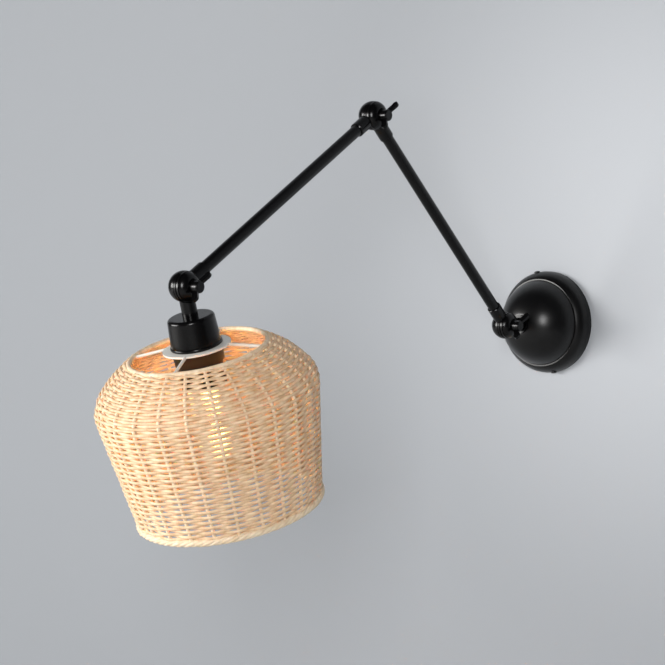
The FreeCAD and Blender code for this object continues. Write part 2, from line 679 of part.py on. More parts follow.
def shade_carrier():
    """The flat ring that the lampholder clamps and the wire spokes that reach the shade's top rim."""
    body = new_body("shade_carrier", HEAD + " * placement(vector(0; 0; 0); rotation(vector(0; 0; 1); spoke_turn))")
    turned(body, "Ring", [
        ("holder_skirt_radius + 0.3", CUP_FOOT), ("ring_radius", CUP_FOOT), ("ring_radius", RING_FOOT),
        ("holder_skirt_radius + 0.3", RING_FOOT)])
    spoke = body.newObject("PartDesign::AdditiveCylinder", "Spoke")
    plane = next(item for item in body.Origin.OriginFeatures if item.Role == "XY_Plane")
    spoke.AttachmentSupport = [(plane, "")]
    spoke.MapMode = "FlatFace"
    start_radius = "(ring_radius - 2)"
    start_drop = "(cup_top + cup_length + ring_thickness / 2)"
    run = "(%s - %s)" % (SPOKE_END, start_radius)
    drop = "(opening_drop - %s)" % start_drop
    spoke.setExpression("Radius", cells("wire_radius"))
    spoke.setExpression("Height", cells("sqrt(%s^2 + %s^2)" % (run, drop)))
    spoke.setExpression("AttachmentOffset", cells(
        "placement(vector(%s; 0; %s); rotation(vector(0; 1; 0); 90 deg - atan(%s / %s)))"
        % (start_radius, start_drop, drop, run)))
    around(body, [spoke], "spoke_count")


def shade():
    """The woven shade as a thin turned wall between a cane rim and a thicker border, with its stakes inside."""
    rim = new_body("shade_top_rim", HEAD)
    rim_sketch = new_sketch(rim, "Cane", "XZ_Plane")
    circle(rim_sketch, "rim_cane_radius", "opening_radius", "opening_drop")
    cane = rim.newObject("PartDesign::Revolution", "CaneRevolution")
    cane.Profile = rim_sketch
    cane.ReferenceAxis = (rim_sketch, ["V_Axis"])
    cane.Angle = 360

    border = new_body("shade_border", HEAD)
    border_sketch = new_sketch(border, "Roll", "XZ_Plane")
    circle(border_sketch, "border_radius", "shade_foot_radius - shade_wall / 2", "shade_foot_drop + border_radius")
    roll = border.newObject("PartDesign::Revolution", "RollRevolution")
    roll.Profile = border_sketch
    roll.ReferenceAxis = (border_sketch, ["V_Axis"])
    roll.Angle = 360

    top_drop = "(opening_drop + rim_cane_radius)"
    wall = new_body("shade_wall", HEAD)
    turned(wall, "Wall", [
        (TOP_RADIUS, top_drop, "crown_round"), (CROWN_RADIUS, CROWN_DROP, "shoulder_round"),
        ("shoulder_radius - 0.3", WAIST_DROP), ("shade_foot_radius", "shade_foot_drop"),
        ("shade_foot_radius - shade_wall", "shade_foot_drop"),
        ("shoulder_radius - 0.3 - shade_wall", WAIST_DROP, "-(shoulder_round - shade_wall)"),
        (CROWN_RADIUS + " - 0.8 * shade_wall", CROWN_DROP + " + 0.6 * shade_wall", "-(crown_round - shade_wall)"),
        (TOP_RADIUS + " - shade_wall", top_drop)])


def stakes():
    """The shade's upright stakes, just inside its wall."""
    body = new_body("shade_stakes", HEAD)
    top_drop = "(opening_drop + rim_cane_radius + stake_gap)"
    outer = "(shade_wall + stake_gap)"
    inner = "(shade_wall + stake_gap + stake_thickness)"
    foot = "(shade_foot_drop - stake_gap)"
    sketch = new_sketch(body, "Strip", "XZ_Plane")
    outline(sketch, [
        ("shade_foot_radius - " + outer, foot), ("shade_foot_radius - " + inner, foot),
        ("shoulder_radius - 0.3 - " + inner, WAIST_DROP, "-(shoulder_round - %s)" % inner),
        ("%s - 0.8 * %s" % (CROWN_RADIUS, inner), "%s + 0.6 * %s" % (CROWN_DROP, inner),
         "-(crown_round - %s)" % inner),
        ("%s - %s" % (TOP_RADIUS, inner), top_drop),
        ("%s - %s" % (TOP_RADIUS, outer), top_drop, "(crown_round - %s)" % outer),
        ("%s - 0.8 * %s" % (CROWN_RADIUS, outer), "%s + 0.6 * %s" % (CROWN_DROP, outer),
         "(shoulder_round - %s)" % outer),
        ("shoulder_radius - 0.3 - " + outer, WAIST_DROP)])
    strip = body.newObject("PartDesign::Revolution", "StakeStrip")
    strip.Profile = sketch
    strip.ReferenceAxis = (sketch, ["V_Axis"])
    strip.setExpression("Angle", cells("stake_width_angle"))
    strip.Midplane = True
    around(body, [strip], "stake_count")


canopy()
wall_strap()
side_screw("canopy_screw_upper", "0 - 90")
side_screw("canopy_screw_lower", "90")
earth_screw()
terminal_block()
neck_shoulder = "(base_joint_out - %s - collar_ring_thickness)" % SEAT_OUT
nipple_stop = "(base_joint_out - %s + canopy_wall + lock_washer_thickness + nut_thickness + nipple_end)" % SEAT_OUT
nipple_knuckle("base_knuckle", NECK, boss_cheek, neck_shoulder, nipple_stop)
ring_nut("canopy_collar", NECK, neck_shoulder, "collar_ring_thickness", False, "collar_ring_radius")
ring_nut("canopy_lock_washer", NECK, "base_joint_out - %s + canopy_wall" % SEAT_OUT, "lock_washer_thickness",
         False, "lock_washer_radius")
ring_nut("canopy_nut", NECK, "base_joint_out - %s + canopy_wall + lock_washer_thickness" % SEAT_OUT,
         "nut_thickness")
friction_washer("base_friction_washer", NECK)
wing_screw("base_wing_screw", BASE_SCREW)

arm("lower_arm", LOWER_FOOT, plain_cheek, LOWER_HEAD, boss_cheek)
friction_washer("elbow_friction_washer", LOWER_HEAD)
wing_screw("elbow_wing_screw", ELBOW_SCREW)

arm("upper_arm", UPPER_FOOT, plain_cheek, UPPER_HEAD, boss_cheek)
friction_washer("head_friction_washer", UPPER_HEAD)
wing_screw("head_wing_screw", HEAD_SCREW)

nipple_knuckle("head_knuckle", HEAD, plain_cheek, "cup_top", HOLDER_TOP + " + holder_entry")
ring_nut("cup_nut", HEAD, "cup_top + cup_wall", "cup_nut_thickness")
lamp_cup()
lampholder()
bulb()
shade_carrier()
shade()
stakes()

doc.recompute()
for item in doc.Objects:
    if "Invalid" in item.State or "Error" in item.State:
        raise RuntimeError("%s failed: %s" % (item.Name, item.State))
os.makedirs("parts", exist_ok=True)
for body in parts:
    if body.Shape.isNull() or not body.Shape.isValid():
        raise RuntimeError("%s has no valid shape" % body.Label)
    body.Shape.exportStep("parts/%s.step" % body.Label)
    print("%-26s %3d solids %10.1f mm3" % (body.Label, len(body.Shape.Solids), body.Shape.Volume))
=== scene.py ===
# %% [markdown]
# # An articulating wall lamp with a woven shade
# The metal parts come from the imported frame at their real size, so this lesson gives them their
# finishes, and spins the dome and turns the ring to what the photograph shows. The cane shade is
# woven here, reed by reed, because a basket's look is its shape.

# %% The frame
import json
import math

import bmesh
import bpy
from mathutils import Matrix, Vector


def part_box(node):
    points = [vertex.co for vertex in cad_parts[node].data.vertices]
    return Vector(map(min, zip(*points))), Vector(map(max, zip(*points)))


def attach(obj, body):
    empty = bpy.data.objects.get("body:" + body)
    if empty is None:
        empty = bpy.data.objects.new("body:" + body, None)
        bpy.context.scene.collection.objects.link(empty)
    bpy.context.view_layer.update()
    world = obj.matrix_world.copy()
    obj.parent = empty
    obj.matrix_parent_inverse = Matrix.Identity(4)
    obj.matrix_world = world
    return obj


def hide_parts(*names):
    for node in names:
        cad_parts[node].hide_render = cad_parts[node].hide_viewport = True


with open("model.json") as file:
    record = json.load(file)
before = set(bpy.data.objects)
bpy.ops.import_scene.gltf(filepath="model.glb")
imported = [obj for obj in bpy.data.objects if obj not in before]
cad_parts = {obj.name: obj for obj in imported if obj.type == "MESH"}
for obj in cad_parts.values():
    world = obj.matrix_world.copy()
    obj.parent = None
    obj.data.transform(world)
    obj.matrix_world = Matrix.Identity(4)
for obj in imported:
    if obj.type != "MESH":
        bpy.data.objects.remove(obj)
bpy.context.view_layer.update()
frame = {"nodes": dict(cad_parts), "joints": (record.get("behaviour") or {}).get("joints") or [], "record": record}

nodes = frame["nodes"]
joints = {joint["name"]: Vector(joint["pos_m"]) for joint in frame["joints"]}

MM = 0.001
scene = bpy.context.scene
scene.view_settings.view_transform = "Standard"

# %% [markdown]
# ## The camera
# A long lens from the right, at about the height of the wall plate and looking slightly down. The
# place, heading and lens were fitted to the plate's rim, the three ball joints and the tube widths.

# %% Camera
CAMERA_PLACE = Vector((1.2425, -1.8140, 0.1275))
CAMERA_HEADING = math.radians(40.0)
CAMERA_PITCH = math.radians(3.61)
CAMERA_LENS = 119.96

camera = bpy.data.objects.new("camera", bpy.data.cameras.new("camera"))
camera.data.lens = CAMERA_LENS
camera.data.sensor_width = 36.0
camera.location = CAMERA_PLACE
camera.rotation_euler = (math.radians(90) - CAMERA_PITCH, 0, CAMERA_HEADING)
scene.collection.objects.link(camera)
scene.camera = camera

# %% [markdown]
# ## Wiring nodes by name
# Every finish and every pattern below is a small node tree. One helper adds a node, sets its options
# and either links or sets its inputs, so a tree reads as a list of steps.


# %% Node helper
def add(tree, kind, inputs=None, **options):
    """A node of this kind, its options set and its inputs linked or given a value."""
    node = tree.nodes.new(kind)
    for name, option in options.items():
        setattr(node, name, option)
    for name, value in (inputs or {}).items():
        if isinstance(value, bpy.types.NodeSocket):
            tree.links.new(value, node.inputs[name])
        else:
            node.inputs[name].default_value = value
    return node


def math_node(tree, operation, first, second=0.0):
    """The result of one sum in a node tree."""
    return add(tree, "ShaderNodeMath", {0: first, 1: second}, operation=operation).outputs[0]


def new_material(name, **shader):
    """A material with one Principled shader; returns the material, its tree and the shader."""
    material = bpy.data.materials.new(name)
    material.use_nodes = True
    tree = material.node_tree
    principled = tree.nodes["Principled BSDF"]
    for socket, value in shader.items():
        principled.inputs[socket.replace("_", " ")].default_value = value
    return material, tree, principled


def object_noise(tree, scale, detail=3.0, roughness=0.5):
    """Noise on the piece's own coordinates, in metres."""
    place = add(tree, "ShaderNodeTexCoord").outputs["Object"]
    return add(tree, "ShaderNodeTexNoise",
               {"Vector": place, "Scale": scale, "Detail": detail, "Roughness": roughness}).outputs["Fac"]


def spread(tree, factor, low, high):
    """The factor stretched over a range."""
    return add(tree, "ShaderNodeMapRange", {"Value": factor, "To Min": low, "To Max": high}).outputs["Result"]


def bump(tree, principled, height, distance, strength):
    """Fine relief in the shader's normal."""
    node = add(tree, "ShaderNodeBump", {"Height": height, "Distance": distance, "Strength": strength})
    tree.links.new(node.outputs["Normal"], principled.inputs["Normal"])


# %% [markdown]
# ## Painted and plain metals
# The canopy, joints, arms and cup wear the same satin black paint: nearly black, with a soft window
# light in it. Two noises make it real: a fine one for the paint's orange peel, and a broad one that
# varies its tone and gloss in patches.


# %% Metal finishes
def painted_metal(name, colour, low_gloss, high_gloss, shine, peel):
    material, tree, principled = new_material(name, Specular_IOR_Level=shine)
    broad = object_noise(tree, 45.0, 4.0)
    fine = object_noise(tree, 900.0, 2.0)
    shade = add(tree, "ShaderNodeValToRGB", {"Fac": broad})
    shade.color_ramp.elements[0].color = (*colour, 1)
    shade.color_ramp.elements[1].color = (*(1.35 * channel for channel in colour), 1)
    tree.links.new(shade.outputs["Color"], principled.inputs["Base Color"])
    tree.links.new(spread(tree, broad, low_gloss, high_gloss), principled.inputs["Roughness"])
    bump(tree, principled, fine, 0.0001, peel)
    return material


def bare_metal(name, colour, gloss, scratch_scale):
    material, tree, principled = new_material(name, Metallic=1.0)
    streaks = object_noise(tree, scratch_scale, 5.0, 0.7)
    shade = add(tree, "ShaderNodeValToRGB", {"Fac": streaks})
    shade.color_ramp.elements[0].color = (*(0.75 * channel for channel in colour), 1)
    shade.color_ramp.elements[1].color = (*colour, 1)
    tree.links.new(shade.outputs["Color"], principled.inputs["Base Color"])
    tree.links.new(spread(tree, streaks, gloss - 0.08, gloss + 0.12), principled.inputs["Roughness"])
    bump(tree, principled, streaks, 0.00005, 0.3)
    return material


black_paint = painted_metal("satin_black_paint", (0.0016, 0.0015, 0.0017), 0.17, 0.27, 0.25, 0.10)
dome_paint = painted_metal("spun_dome_paint", (0.0016, 0.0015, 0.0017), 0.26, 0.35, 0.35, 0.10)
white_paint = painted_metal("white_painted_wire", (0.70, 0.68, 0.63), 0.35, 0.5, 0.5, 0.1)
zinc = bare_metal("zinc_plated_steel", (0.62, 0.62, 0.60), 0.35, 300.0)
brass = bare_metal("brass", (0.80, 0.60, 0.28), 0.28, 300.0)
nickel = bare_metal("nickel_cap", (0.75, 0.73, 0.70), 0.3, 250.0)


# %% [markdown]
# ## Moulded parts
# The lampholder is black moulded resin, the connector block a translucent nylon, the contact block
# white ceramic. Each is a dielectric with a faint mottling and a gloss of its own.


# %% Moulded finishes
def moulded(name, colour, gloss, grain, depth):
    material, tree, principled = new_material(name)
    mottle = object_noise(tree, 80.0, 3.0)
    shade = add(tree, "ShaderNodeValToRGB", {"Fac": mottle})
    shade.color_ramp.elements[0].color = (*(0.9 * channel for channel in colour), 1)
    shade.color_ramp.elements[1].color = (*colour, 1)
    tree.links.new(shade.outputs["Color"], principled.inputs["Base Color"])
    tree.links.new(spread(tree, mottle, gloss - 0.05, gloss + 0.08), principled.inputs["Roughness"])
    bump(tree, principled, object_noise(tree, grain, 2.0), 0.0001, depth)
    return material


black_resin = moulded("black_resin", (0.003, 0.0026, 0.0026), 0.36, 900.0, 0.2)
nylon = moulded("natural_nylon", (0.78, 0.78, 0.74), 0.42, 700.0, 0.2)
ceramic = moulded("glazed_ceramic", (0.80, 0.78, 0.72), 0.15, 200.0, 0.1)
fibre = moulded("friction_fibre", (0.03, 0.028, 0.026), 0.7, 1200.0, 0.6)
sheath = moulded("cable_sheath", (0.015, 0.015, 0.015), 0.5, 600.0, 0.3)

# %% [markdown]
# ## The bulb
# A clear tube of glass round upright filaments. The filaments give off the light; the glass glows a
# little too, so the lit bulb shows as a soft warm column through the weave.

# %% Bulb finishes
GLOW = (1.0, 0.56, 0.20, 1)
glass, glass_tree, glass_shader = new_material(
    "clear_glass", Base_Color=(1.0, 0.95, 0.86, 1), Roughness=0.03, IOR=1.45, Transmission_Weight=1.0,
    Emission_Color=(1.0, 0.72, 0.30, 1), Emission_Strength=0.55)
bump(glass_tree, glass_shader, object_noise(glass_tree, 60.0, 2.0), 0.0002, 0.1)
filament, filament_tree, filament_shader = new_material(
    "glowing_filament", Base_Color=(1.0, 0.7, 0.35, 1), Emission_Color=GLOW, Emission_Strength=4.5,
    Roughness=0.6)
bump(filament_tree, filament_shader, object_noise(filament_tree, 1500.0), 0.0001, 0.3)

# %% [markdown]
# ## Dressing the frame
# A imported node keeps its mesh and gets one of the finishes.

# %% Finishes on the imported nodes
FINISHES = {
    "black_metal": black_paint, "black_screw": black_paint, "zinc_steel": zinc, "friction_disc": fibre,
    "cable_sheath": sheath, "block_plastic": nylon, "black_plastic": black_resin, "ceramic": ceramic,
    "brass": brass, "cap_metal": nickel, "bulb_glass": glass, "filament": filament,
    "white_metal": white_paint,
}
for entry in frame["record"]["subparts"]:
    finish = FINISHES.get(entry["material_slot"])
    if finish:
        node_mesh = nodes[entry["node"]].data
        node_mesh.materials.clear()
        node_mesh.materials.append(finish)
print("dressed", sum(len(nodes[name].data.materials) for name in nodes), "nodes")

# %% [markdown]
# ## The spun dome
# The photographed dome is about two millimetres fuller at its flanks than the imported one, and its
# ledge is narrower. So the shell is spun again here: one profile of rim, ledge, dome and seat, with
# the wall's inner face as its way back, turned round the wall's normal. Its paint is a little duller
# than the joints', so its glow is round and soft.

# %% Dome
CANOPY_RADIUS, CANOPY_WALL, WALL_GAP = 50.0 * MM, 1.0 * MM, 0.3 * MM
EDGE_OUT, RIM_ROUND = 4.0 * MM, 16.6 * MM
LEDGE_RADIUS, LEDGE_OUT = 43.0 * MM, 17.0 * MM
DOME_RADIUS, DOME_HUB_OUT = 43.0 * MM, 6.92 * MM
SEAT_OUT, NECK_HOLE = 48.83 * MM, 5.15 * MM
RIM_STEPS, DOME_STEPS, SPIN_STEPS = 14, 40, 128
SHARP_EDGE = math.radians(25)


def bow(start, end, radius, steps):
    """Points on the arc from start to end whose centre lies to the left of the way."""
    chord = end - start
    left = Vector((-chord.y, chord.x)).normalized()
    hub = (start + end) / 2 + left * math.sqrt(radius ** 2 - chord.length_squared / 4)
    turn = 2 * math.asin(chord.length / 2 / radius)
    return [hub + Matrix.Rotation(turn * step / steps, 2) @ (start - hub) for step in range(steps + 1)]


def dome_line(inset):
    """One face of the shell as (radius, distance from the wall), this far inside the outer face."""
    def on_dome(out):
        """The point of the dome's circle at this distance from the wall."""
        return Vector((math.sqrt((DOME_RADIUS - inset) ** 2 - (out - DOME_HUB_OUT) ** 2), out))
    edge = Vector((CANOPY_RADIUS - inset, EDGE_OUT))
    rim = bow(edge, Vector((LEDGE_RADIUS - inset, LEDGE_OUT - inset)), RIM_ROUND - inset, RIM_STEPS)
    dome = bow(on_dome(LEDGE_OUT - inset), on_dome(SEAT_OUT - inset), DOME_RADIUS - inset, DOME_STEPS)
    return [Vector((edge.x, WALL_GAP))] + rim + dome + [Vector((NECK_HOLE, SEAT_OUT - inset))]


dome_profile = dome_line(0.0) + dome_line(CANOPY_WALL)[::-1]
corners, quads, count = [], [], len(dome_profile)
for step in range(SPIN_STEPS):
    turn = 2 * math.pi * step / SPIN_STEPS
    corners += [(radius * math.cos(turn), -out, radius * math.sin(turn)) for radius, out in dome_profile]
    here, there = step * count, (step + 1) % SPIN_STEPS * count
    quads += [(here + spot, here + (spot + 1) % count, there + (spot + 1) % count, there + spot)
              for spot in range(count)]
dome_mesh = bpy.data.meshes.new("spun_dome")
dome_mesh.from_pydata(corners, [], quads)
closed = bmesh.new()
closed.from_mesh(dome_mesh)
bmesh.ops.recalc_face_normals(closed, faces=closed.faces)
closed.to_mesh(dome_mesh)
closed.free()
dome_mesh.shade_smooth()
dome_mesh.set_sharp_from_angle(angle=SHARP_EDGE)
dome_mesh.materials.append(dome_paint)
spun_dome = bpy.data.objects.new("spun_dome", dome_mesh)
scene.collection.objects.link(spun_dome)
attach(spun_dome, "wall_base")
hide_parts("canopy")
print("spun dome:", len(quads), "faces")

# %% [markdown]
# ## The ring's turn
# The lampholder clamps the white ring at any turn. In the photograph its four spokes stand further
# round than in the frame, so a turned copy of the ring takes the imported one's place. The head has its
# own frame, with z down the lampholder's axis, and head_place carries it to its place on the arm.

# %% Ring and spokes
HEAD_LEAN = math.radians(16.3)
head_place = Matrix.Translation(joints["head_hinge"]) @ Matrix.Rotation(math.pi + HEAD_LEAN, 4, "X")
RING_TURN = math.radians(59.0)

packed_ring = nodes["shade_carrier"]
ring_mesh = packed_ring.data.copy()
ring_mesh.name = "turned_shade_ring"
ring_mesh.transform(packed_ring.matrix_world)
far_corner = max((head_place.inverted() @ corner.co for corner in ring_mesh.vertices),
                 key=lambda spot: spot.xy.length)
print("packed spoke at %.1f degrees" % (math.degrees(math.atan2(far_corner.y, far_corner.x)) % 90))
ring_mesh.transform(head_place @ Matrix.Rotation(RING_TURN, 4, "Z") @ head_place.inverted())
turned_ring = bpy.data.objects.new("turned_shade_ring", ring_mesh)
scene.collection.objects.link(turned_ring)
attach(turned_ring, "head")
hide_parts("shade_carrier")

# %% [markdown]
# ## Cane
# Peeled willow or rattan core is a pale straw wood with a long grain. Each reed of the weave has a
# number stored on its mesh, so neighbours differ in tint, and noise drawn out along the reed gives
# the grain. A little light passes into it, which makes the lit side glow.


# %% Cane finish
def cane_material(name, pale, dark):
    material, tree, principled = new_material(
        name, Subsurface_Weight=0.18, Subsurface_Radius=(0.004, 0.002, 0.001), Subsurface_Scale=0.6,
        Specular_IOR_Level=0.35)
    reed = add(tree, "ShaderNodeAttribute", attribute_name="reed").outputs["Fac"]
    along = add(tree, "ShaderNodeAttribute", attribute_name="along").outputs["Fac"]
    place = add(tree, "ShaderNodeTexCoord").outputs["Object"]
    tint = add(tree, "ShaderNodeTexNoise", {"W": math_node(tree, "ADD", math_node(tree, "MULTIPLY", reed, 7.31),
                                                           math_node(tree, "MULTIPLY", along, 9.0)),
                                            "Scale": 1.0, "Detail": 2.0}, noise_dimensions="1D").outputs["Fac"]
    grain = add(tree, "ShaderNodeTexNoise", {"Vector": place, "Scale": 900.0, "Detail": 3.0}).outputs["Fac"]
    blotch = add(tree, "ShaderNodeTexNoise", {"Vector": place, "Scale": 55.0, "Detail": 3.0}).outputs["Fac"]
    mix = math_node(tree, "ADD", math_node(tree, "MULTIPLY", tint, 0.6), math_node(tree, "MULTIPLY", grain, 0.2))
    mix = math_node(tree, "ADD", mix, math_node(tree, "MULTIPLY", blotch, 0.2))
    ramp = add(tree, "ShaderNodeValToRGB", {"Fac": mix})
    ramp.color_ramp.elements[0].position = 0.30
    ramp.color_ramp.elements[0].color = (*dark, 1)
    ramp.color_ramp.elements[1].position = 0.62
    ramp.color_ramp.elements[1].color = (*pale, 1)
    tree.links.new(ramp.outputs["Color"], principled.inputs["Base Color"])
    tree.links.new(spread(tree, grain, 0.42, 0.62), principled.inputs["Roughness"])
    bump(tree, principled, grain, 0.0003, 0.35)
    return material


cane = cane_material("woven_cane", (0.93, 0.69, 0.46), (0.68, 0.43, 0.235))
cane_rim = cane_material("rim_cane", (0.95, 0.76, 0.55), (0.76, 0.55, 0.35))

# %% [markdown]
# ## The shade's outline
# All woven pieces follow one curve: the middle of the wall, from under the top rim over a rounded
# shoulder and down a straight taper to the border. It is drawn in the head's own frame, with x as
# the radius and z as the distance down the lampholder's axis.

# %% Outline
ROW_PITCH = 2.4 * MM
REED_HEIGHT, REED_DEPTH = 1.18 * ROW_PITCH, 1.9 * MM
STAKE = 1.5 * MM
WEAVE_DEPTH = 1.5 * MM
WALL_HALF = WEAVE_DEPTH + REED_DEPTH / 2
STAKES = 24
STAKE_PHASE = math.radians(12.5)
RIM_RADIUS, RIM_DROP = 57.4 * MM, 56.0 * MM
SHOULDER_RADIUS = 94.2 * MM - WALL_HALF
SHOULDER_DROP = 95.0 * MM
SHOULDER_ROUND = 25.0 * MM - WALL_HALF
CROWN_SLOPE = math.radians(36)
CROWN_START = Vector((1.0, 0.6)) * MM
FOOT_SLOPE = math.radians(9.1)
FOOT_DROP = 190.5 * MM
CROWN_STEPS, SHOULDER_STEPS = 14, 10


def outline_points():
    """The wall's middle curve as (radius, drop): an arc over the crown, the shoulder, the taper.

    The crown's arc starts under the rim and meets the shoulder's arc without a corner.
    """
    hub = Vector((SHOULDER_RADIUS - SHOULDER_ROUND, SHOULDER_DROP))
    shoulder = [hub + SHOULDER_ROUND * Vector((math.cos(turn), math.sin(turn)))
                for turn in [-CROWN_SLOPE + step / SHOULDER_STEPS * (CROWN_SLOPE + FOOT_SLOPE)
                             for step in range(SHOULDER_STEPS + 1)]]
    start = Vector((RIM_RADIUS, RIM_DROP)) + CROWN_START
    chord = shoulder[0] - start
    chord_slope = math.atan2(chord.x, chord.y)
    half_turn = chord_slope - CROWN_SLOPE
    crown_round = chord.length / (2 * math.sin(half_turn))
    crown_hub = shoulder[0] - crown_round * Vector((math.cos(CROWN_SLOPE), -math.sin(CROWN_SLOPE)))
    crown = [crown_hub + crown_round * Vector((math.cos(turn), -math.sin(turn)))
             for turn in [CROWN_SLOPE + 2 * half_turn * (1 - step / CROWN_STEPS)
                          for step in range(CROWN_STEPS)]]
    foot_run = FOOT_DROP - shoulder[-1].y
    foot = shoulder[-1] + Vector((-math.tan(FOOT_SLOPE) * foot_run, foot_run))
    return crown + shoulder + [foot]


def outline_curve():
    """The outline as a curve object, which the weaving trees take as their geometry."""
    points = outline_points()
    data = bpy.data.curves.new("shade_outline", "CURVE")
    data.dimensions = "3D"
    spline = data.splines.new("POLY")
    spline.points.add(len(points) - 1)
    for point, (radius, drop) in zip(spline.points, points):
        point.co = (radius, 0, drop, 1)
    curve = bpy.data.objects.new("shade_outline", data)
    scene.collection.objects.link(curve)
    return curve


foot_radius = outline_points()[-1].x
print("outline: foot radius %.1f mm" % (foot_radius / MM))

# %% [markdown]
# ## A tree for weaving
# Geometry Nodes suit a weave, because each row is the same ring with one rule: it passes in front of
# one stake and behind the next, and the next row does the opposite. The rule is a cosine with half
# as many waves as stakes, turned over on every second row. The tree takes the outline, lays a ring
# on it for each row, and sweeps a reed along every ring.


# %% Weaving tree
def geometry_tree(name, sizes):
    """An empty tree with a geometry input and output and one named number input for each size."""
    tree = bpy.data.node_groups.new(name, "GeometryNodeTree")
    tree.interface.new_socket("Geometry", in_out="INPUT", socket_type="NodeSocketGeometry")
    tree.interface.new_socket("Geometry", in_out="OUTPUT", socket_type="NodeSocketGeometry")
    for size in sizes:
        tree.interface.new_socket(size, in_out="INPUT", socket_type="NodeSocketFloat")
    return tree, add(tree, "NodeGroupInput").outputs


def sum_of(tree, *terms):
    total = terms[0]
    for term in terms[1:]:
        total = math_node(tree, "ADD", total, term)
    return total


def product(tree, *factors):
    total = factors[0]
    for factor in factors[1:]:
        total = math_node(tree, "MULTIPLY", total, factor)
    return total


def rings(tree, count, resolution):
    """As many unit rings as count, as curves that know their own number as 'reed'."""
    line = add(tree, "GeometryNodeMeshLine", {"Count": count, "Offset": (0, 0, 0)})
    ring = add(tree, "GeometryNodeCurvePrimitiveCircle", {"Resolution": resolution, "Radius": 1.0})
    placed = add(tree, "GeometryNodeInstanceOnPoints",
                 {"Points": line.outputs["Mesh"], "Instance": ring.outputs["Curve"]})
    numbered = add(tree, "GeometryNodeStoreNamedAttribute",
                   {"Geometry": placed.outputs["Instances"], "Name": "reed",
                    "Value": add(tree, "GeometryNodeInputIndex").outputs["Index"]},
                   data_type="FLOAT", domain="INSTANCE")
    return add(tree, "GeometryNodeRealizeInstances", {"Geometry": numbered.outputs["Geometry"]}).outputs["Geometry"]


def ring_angle(tree):
    """The angle of each point of a unit ring about z."""
    spot = add(tree, "ShaderNodeSeparateXYZ", {0: add(tree, "GeometryNodeInputPosition").outputs["Position"]})
    return math_node(tree, "ARCTAN2", spot.outputs["Y"], spot.outputs["X"])


def named(tree, name):
    return add(tree, "GeometryNodeInputNamedAttribute", {"Name": name}, data_type="FLOAT").outputs["Attribute"]


def jitter(tree, seed, scale, angle, size):
    """A smooth random number between -size and size that changes along the ring and from reed to reed."""
    turned = add(tree, "ShaderNodeCombineXYZ",
                 {"X": math_node(tree, "COSINE", angle), "Y": math_node(tree, "SINE", angle),
                  "Z": product(tree, named(tree, "reed"), 3.7)})
    noise = add(tree, "ShaderNodeTexNoise", {"Vector": turned.outputs["Vector"], "W": seed, "Scale": scale,
                                             "Detail": 1.0}, noise_dimensions="4D")
    return product(tree, math_node(tree, "SUBTRACT", noise.outputs["Fac"], 0.5), 4.0, size)


def round_section(tree, radius, sides):
    """A round reed's cross-section."""
    return add(tree, "GeometryNodeCurvePrimitiveCircle", {"Resolution": sides, "Radius": radius}).outputs["Curve"]


def sweep(tree, curves, section, material, swell=1.0):
    """A reed along every curve, smooth, with its material: the end of a weaving tree."""
    tube = add(tree, "GeometryNodeCurveToMesh",
               {"Curve": curves, "Profile Curve": section, "Fill Caps": True, "Scale": swell})
    smooth = add(tree, "GeometryNodeSetShadeSmooth", {"Geometry": tube.outputs["Mesh"]})
    real = add(tree, "GeometryNodeRealizeInstances", {"Geometry": smooth.outputs["Geometry"]})
    dressed = add(tree, "GeometryNodeSetMaterial", {"Geometry": real.outputs["Geometry"], "Material": material})
    add(tree, "NodeGroupOutput", {"Geometry": dressed.outputs["Geometry"]})


def baked(name, source, tree, sizes, body, slot, *replaced):
    """Runs a tree on an object, keeps the result as a plain mesh in the head's frame, and rides it."""
    modifier = source.modifiers.new(name, "NODES")
    modifier.node_group = tree
    for item in tree.interface.items_tree:
        if item.in_out == "INPUT" and item.name in sizes:
            modifier[item.identifier] = float(sizes[item.name])
    depsgraph = bpy.context.evaluated_depsgraph_get()
    mesh = bpy.data.meshes.new_from_object(source.evaluated_get(depsgraph), depsgraph=depsgraph)
    source.modifiers.remove(modifier)
    bpy.data.objects.remove(source)
    mesh.transform(head_place)
    mesh.name = name
    piece = bpy.data.objects.new(name, mesh)
    scene.collection.objects.link(piece)
    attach(piece, body)
    if replaced:
        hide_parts(*replaced)
    print("%s: %d triangles" % (name, sum(len(face.vertices) - 2 for face in mesh.polygons)))


# %% [markdown]
# A weaver is oval: tall along the wall, so that it touches the rows above and below, and thinner across
# it. Where it bends round a stake it is drawn a little narrower, which opens a leaf-shaped gap on each
# side of the stake. Setting each ring's normals to the wall's own keeps the oval upright.


